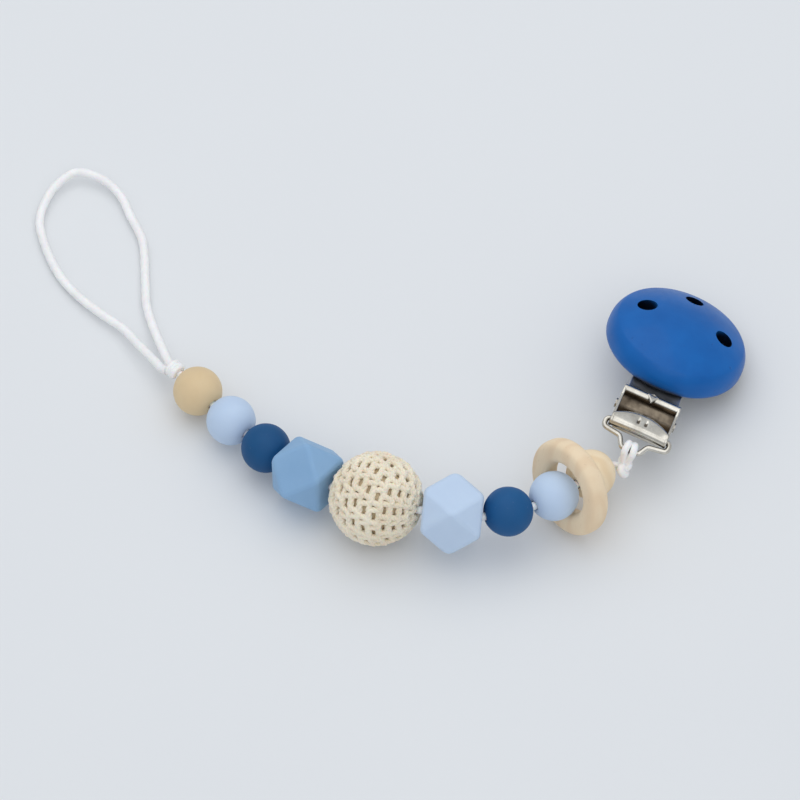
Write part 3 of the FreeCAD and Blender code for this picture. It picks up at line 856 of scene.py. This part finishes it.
def wooden_ring(mats):
    low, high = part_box("wooden_ring")
    turn = (Matrix.Rotation(math.radians(RING_YAW), 4, "Z")
            @ Matrix.Rotation(-math.radians(RING_RISE), 4, "Y"))
    points, faces = lathe(ring_profile(), 120)
    piece = mesh_piece("wooden_ring_turned", points, faces, mats["ring_wood"],
                       Matrix.Translation((low + high) / 2) @ turn, "natural_wood")
    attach(piece, "ring")
    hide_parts("wooden_ring")


def ring_profile():
    """Section of the ring: an oval with flattened sides."""
    def flattened(value):
        return math.copysign(abs(value) ** 0.66, value)
    angles = [2 * math.pi * i / 40 for i in range(40)]
    return [(RING_SECTION * flattened(math.sin(a)), RING_RADIUS + RING_BAND * flattened(math.cos(a)))
            for a in angles]


# ---------------------------------------------------------------- clip

def disc_profile():
    """Section of the disc as (height, radius), from the middle of the top round to the underside."""
    top = [(DISC_HEIGHT - (DISC_DOME - math.sqrt(DISC_DOME ** 2 - r ** 2)), r)
           for r in np.linspace(0.02, DISC_CREASE, 30)]
    rim_low = 3.6
    begin = math.radians(43)
    width = (DISC_RADIUS - DISC_CREASE) / (1 - math.sin(begin))
    tall = (top[-1][0] - rim_low) / math.cos(begin)
    rim = [(rim_low + tall * math.cos(a), DISC_RADIUS - width + width * math.sin(a))
           for a in np.linspace(begin, math.pi / 2, 12)]
    low = [(DISC_FOOT * (1 - math.sin(a)), DISC_RADIUS - DISC_FOOT * (1 - math.cos(a)))
           for a in np.linspace(0, math.pi / 2, 9)]
    underside = [(0.0, r) for r in np.linspace(14.0, 0.02, 8)]
    return top + rim[1:] + low + underside


def close_centres(piece):
    """Closes the small holes that the turned shape leaves on its axis."""
    bm = bmesh.new()
    bm.from_mesh(piece.data)
    bmesh.ops.remove_doubles(bm, verts=bm.verts, dist=0.00005)
    bmesh.ops.holes_fill(bm, edges=bm.edges)
    bmesh.ops.recalc_face_normals(bm, faces=bm.faces)
    bm.to_mesh(piece.data)
    bm.free()


def wooden_disc(mats):
    points, faces = lathe(disc_profile(), 128, closed=False)
    upright = [(y, z, x) for x, y, z in points]
    piece = mesh_piece("disc_painted", upright, faces, mats["painted_wood"], None, "painted_wood")
    close_centres(piece)
    cutters = []
    for angle in VENT_ANGLES:
        x = VENT_CIRCLE * math.cos(math.radians(angle))
        y = VENT_CIRCLE * math.sin(math.radians(angle))
        cutters.append(drill(piece, (x, y, -2.0), (x, y, 16.0), VENT_RADIUS, 56))
    soften_edges(piece, 0.35, 4, 50)
    apply_modifiers(piece, cutters)
    piece.data.transform(clip_matrix())
    shade_smooth(piece)
    piece.modifiers.new("normals", "WEIGHTED_NORMAL")
    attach(piece, "clip_body")
    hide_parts("wooden_disc")


BODY_HALF = 7.3             # half the width of the front plate
BAR_Y = -20.5
BAR_RADIUS = 1.05
END_Y = -31.9
NECK_ROWS = 4               # rows of the front plate's grid that make the neck
HOLLOW_ROWS = (15, 28)      # rows from the foot of the bar to the lip's edge
DIMPLES = (-1.0, 1.0)       # across the lip
DIMPLE_Y = -29.4
# Slots: plain steel, steel darkened with painted shade and dark reflection, and steel lightened with painted light
# for the neck.
STEEL, PAINTED_SHADE, NECK = 0, 1, 2     # material slots of the front plate


def arch_y(x):
    """Upper edge of the lip: an arc that rises towards the disc in the middle."""
    return -29.9 + 3.3 * (1.0 - (x / BODY_HALF) ** 2)


def plate_row(x):
    """(y, z) down the front plate at one x: neck, rolled bar, hollow, the lip's edge and the lip."""
    row = [(6.0, 0.0), (-4.0, 0.0), (-12.0, 0.0), (-17.0, 0.0), (-19.0, 0.0)]
    row += [(BAR_Y + BAR_RADIUS * math.cos(a), 0.05 + BAR_RADIUS * math.sin(a))
            for a in np.linspace(0.35, 3.5, 12)]
    row += [(-21.75, -1.2), (-22.1, -2.0), (-22.7, -2.7), (-23.6, -3.1)]
    edge = arch_y(x)
    for share in (0.3, 0.6, 0.85):
        row.append((-23.6 + (edge + 0.5 + 23.6) * share, -3.1 + 0.55 * share ** 2))
    row += [(edge + 0.34, -2.3), (edge + 0.26, -1.7), (edge + 0.16, -1.15)]
    row += [(edge, -0.86), (edge - 0.25, -0.78)]
    for share in (0.15, 0.3, 0.45, 0.6, 0.75, 0.88):
        row.append((edge - 0.4 + (END_Y + 0.3 - edge + 0.4) * share, -0.8 - 0.75 * share ** 1.6))
    row += [(END_Y + 0.1, -1.72), (END_Y - 0.12, -2.1), (END_Y - 0.2, -2.7), (END_Y - 0.2, -3.4)]
    return row


def plate_point(x, y, z):
    """One point of the front plate: the neck is narrower, the lip is crowned and has two dimples."""
    for middle in DIMPLES:
        z -= 0.50 * math.exp(-(x - middle) ** 2 / 0.12 - (y - DIMPLE_Y) ** 2 / 0.40)
    if y < arch_y(x):
        z += 0.30 * (1 - (x / BODY_HALF) ** 2)
    return (x * 0.89 if y > -19.4 else x, y, z)


def plate_finish(row, x, y):
    """Material slot of one face of the front plate."""
    # The hollow and the dimples take the darker steel, which is painted shade and dark reflection; the neck takes
    # the lighter steel, which is painted light.
    in_dimple = abs(y - DIMPLE_Y) < 0.7 and min(abs(x - middle) for middle in DIMPLES) < 0.3
    if in_dimple or HOLLOW_ROWS[0] <= row < HOLLOW_ROWS[1]:
        return PAINTED_SHADE
    return NECK if row < NECK_ROWS else STEEL


def pressed_sheet(mats):
    """The front plate's sheet, bent from the neck to the lip."""
    columns = np.linspace(-BODY_HALF, BODY_HALF, 61)
    rows = len(plate_row(0.0))
    points, faces, finish = [], [], []
    for x in columns:
        points += [plate_point(x, y, z) for y, z in plate_row(x)]
    for i in range(len(columns) - 1):
        for j in range(rows - 1):
            a = i * rows + j
            faces.append((a, a + 1, a + rows + 1, a + rows))
            finish.append(plate_finish(j, points[a][0], points[a][1]))
    sheet = mesh_piece("front_plate_pressed", points, faces, mats["nickel_steel"], None, "nickel_steel")
    # Extra slots: steel darkened with painted shade and dark reflection, and steel lightened with painted light.
    sheet.data.materials.append(mats["nickel_hollow_painted_shade"])
    sheet.data.materials.append(mats["nickel_neck_painted_light"])
    sheet.data.polygons.foreach_set("material_index", finish)
    thick = sheet.modifiers.new("sheet", "SOLIDIFY")
    thick.thickness = 0.6 * MM
    thick.offset = -1
    apply_modifiers(sheet)
    return sheet


def front_plate(mats):
    """Pressed steel body: one bent sheet, a side wall at each edge and a boss on the bar."""
    sheet = pressed_sheet(mats)
    walls = mesh_piece("front_plate_walls", *merged([side_wall(side) for side in (-1, 1)]),
                       mats["nickel_steel"], None, "nickel_steel")
    soften_edges(walls, 0.18, 3, 35)
    stud = mesh_piece("front_plate_boss", *boss(), mats["nickel_steel"], None, "nickel_steel")
    # The faces of the boss's dimple take the darker steel: painted shade.
    stud.data.materials.append(mats["nickel_hollow_painted_shade"])
    for face in stud.data.polygons:
        face.material_index = PAINTED_SHADE if all(v >= 12 for v in face.vertices) else STEEL
    soften_edges(stud, 0.16, 3, 35)
    for piece in (walls, stud):
        apply_modifiers(piece)
        piece.modifiers.new("normals", "WEIGHTED_NORMAL")
    for piece in (sheet, walls, stud):
        piece.data.transform(clip_matrix())
        shade_smooth(piece)
        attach(piece, "clip_body")
        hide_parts("front_plate")


def side_wall(side):
    """Side wall of the body: its top edge follows the hollow and stands a little proud of it."""
    outline = [(-19.6, 0.5), (-20.6, 1.0), (-21.6, 0.7), (-22.4, -0.2), (-25.0, -0.7), (-29.5, -0.9),
               (-31.6, -1.3), (-32.1, -1.9), (-32.1, -3.6), (-29.0, -4.0), (-24.5, -5.2), (-22.2, -6.0),
               (-20.6, -5.9), (-19.3, -4.9)]
    outer = side * (BODY_HALF + 0.12)
    inner = side * (BODY_HALF - 0.55)
    points = [(outer, y, z) for y, z in outline] + [(inner, y, z) for y, z in outline]
    n = len(outline)
    faces = [tuple(range(n)), tuple(range(2 * n - 1, n - 1, -1))]
    faces += [(i, (i + 1) % n, (i + 1) % n + n, i + n) for i in range(n)]
    return points, faces


def boss():
    """Diamond boss pressed up from the bar, with a dimple in its upper corner."""
    top = [(0.0, -2.2), (1.75, 0.0), (0.0, 1.35), (-1.75, 0.0)]
    points = [(x, BAR_Y + y, 0.3) for x, y in top]
    points += [(x * 0.82, BAR_Y + y * 0.82, 1.35 - 0.25 * abs(y)) for x, y in top]
    points += [(x * 0.42, BAR_Y + 0.2 + y * 0.42, 1.32 - 0.1 * abs(y)) for x, y in top]
    points += [(x * 0.30, BAR_Y + 0.25 + y * 0.30, 0.85) for x, y in top]
    faces = [(0, 1, 2, 3)]
    for low, high in ((0, 4), (4, 8), (8, 12)):
        faces += [(low + i, low + (i + 1) % 4, high + (i + 1) % 4, high + i) for i in range(4)]
    faces.append((12, 13, 14, 15))
    return points, faces


def finish_cad_nodes(mats):
    """The other steel pieces and the plastic insert keep their CAD shapes and get their finish here."""
    for name in ("disc_screws", "hinge_pin", "wire_loop", "jaw_plate", "cam_lever", "jaw_pad"):
        piece = frame["nodes"][name]
        piece.data.materials.clear()
        piece.data.materials.append(mats["insert_plastic" if name == "jaw_pad" else "nickel_steel"])


# ---------------------------------------------------------------- stage

# name, place, aim, width (all in metres), power, colour
LIGHTS = [
    ("overhead", (-0.03, 0.16, 0.52), (0.0, 0.03, 0.0), 0.60, 0.72, (1.0, 0.99, 0.97)),
    ("wash", (0.10, -0.55, 0.80), (0.0, 0.0, 0.0), 0.80, 1.18, (1.0, 0.99, 0.98)),
]
FLOOR_SIZE = 3.0
HORIZON_LIGHT = 0.55
OVERHEAD_LIGHT = 0.92
VIEW_ELEVATION = 53.0
VIEW_DISTANCE = 1.5
VIEW_WIDTH = 800 / 4086             # metres across the picture at the target
VIEW_CENTRE = (5.75, 38.64)         # millimetres from the crochet bead to the picture's middle
SENSOR = 36.0


def stage():
    bpy.ops.mesh.primitive_plane_add(size=FLOOR_SIZE, location=(0, 0, cad_box[0][2] - 0.0002))
    floor = bpy.context.object
    floor.name = "floor"
    s = Shader("floor")
    cloud = s.noise(8, 2, 0.5)
    s.surface(Base_Color=s.mix(cloud, rgb(228, 230, 232), rgb(232, 234, 235)), Roughness=0.7)
    s.surface(Specular_IOR_Level=0.2)
    floor.data.materials.append(s.material)
    studio_world()
    for name, where, aim, width, power, colour in LIGHTS:
        light = bpy.data.lights.new(name, "AREA")
        light.size = width
        light.energy = power
        light.color = colour
        lamp = bpy.data.objects.new(name, light)
        lamp.location = where
        lamp.rotation_euler = (Vector(aim) - Vector(where)).to_track_quat("-Z", "Y").to_euler()
        bpy.context.scene.collection.objects.link(lamp)


def studio_world():
    """Soft room light: pale overhead, darker towards the horizon."""
    world = bpy.data.worlds.new("studio")
    world.use_nodes = True
    nodes, links = world.node_tree.nodes, world.node_tree.links
    coords = nodes.new("ShaderNodeTexCoord")
    split = nodes.new("ShaderNodeSeparateXYZ")
    rise = nodes.new("ShaderNodeMapRange")
    links.new(coords.outputs["Generated"], split.inputs[0])
    links.new(split.outputs["Z"], rise.inputs[0])
    for index, value in enumerate((0.0, 0.8, HORIZON_LIGHT, OVERHEAD_LIGHT), 1):
        rise.inputs[index].default_value = value
    background = nodes["Background"]
    background.inputs[0].default_value = (*rgb(230, 234, 240), 1)
    links.new(rise.outputs[0], background.inputs[1])
    bpy.context.scene.world = world


def camera():
    elevation = math.radians(VIEW_ELEVATION)
    target = spot("spin_crochet_bead") + Vector((*VIEW_CENTRE, 0)) * MM
    target.z = 0
    back = Vector((0, -math.cos(elevation), math.sin(elevation)))
    data = bpy.data.cameras.new("camera")
    data.sensor_width = SENSOR
    data.lens = SENSOR * VIEW_DISTANCE / VIEW_WIDTH
    data.clip_start = 0.01
    eye = bpy.data.objects.new("camera", data)
    eye.location = target + back * VIEW_DISTANCE
    eye.rotation_euler = (-back).to_track_quat("-Z", "Y").to_euler()
    bpy.context.scene.collection.objects.link(eye)
    bpy.context.scene.camera = eye


mats = materials()
build_beads(mats)
build_crochet(mats)
build_cord(mats)
soother_loop(mats)
loop_knot(mats)
tail(mats)
wooden_ring(mats)
wooden_disc(mats)
front_plate(mats)
finish_cad_nodes(mats)
stage()
camera()
bpy.context.scene.view_settings.view_transform = "Standard"
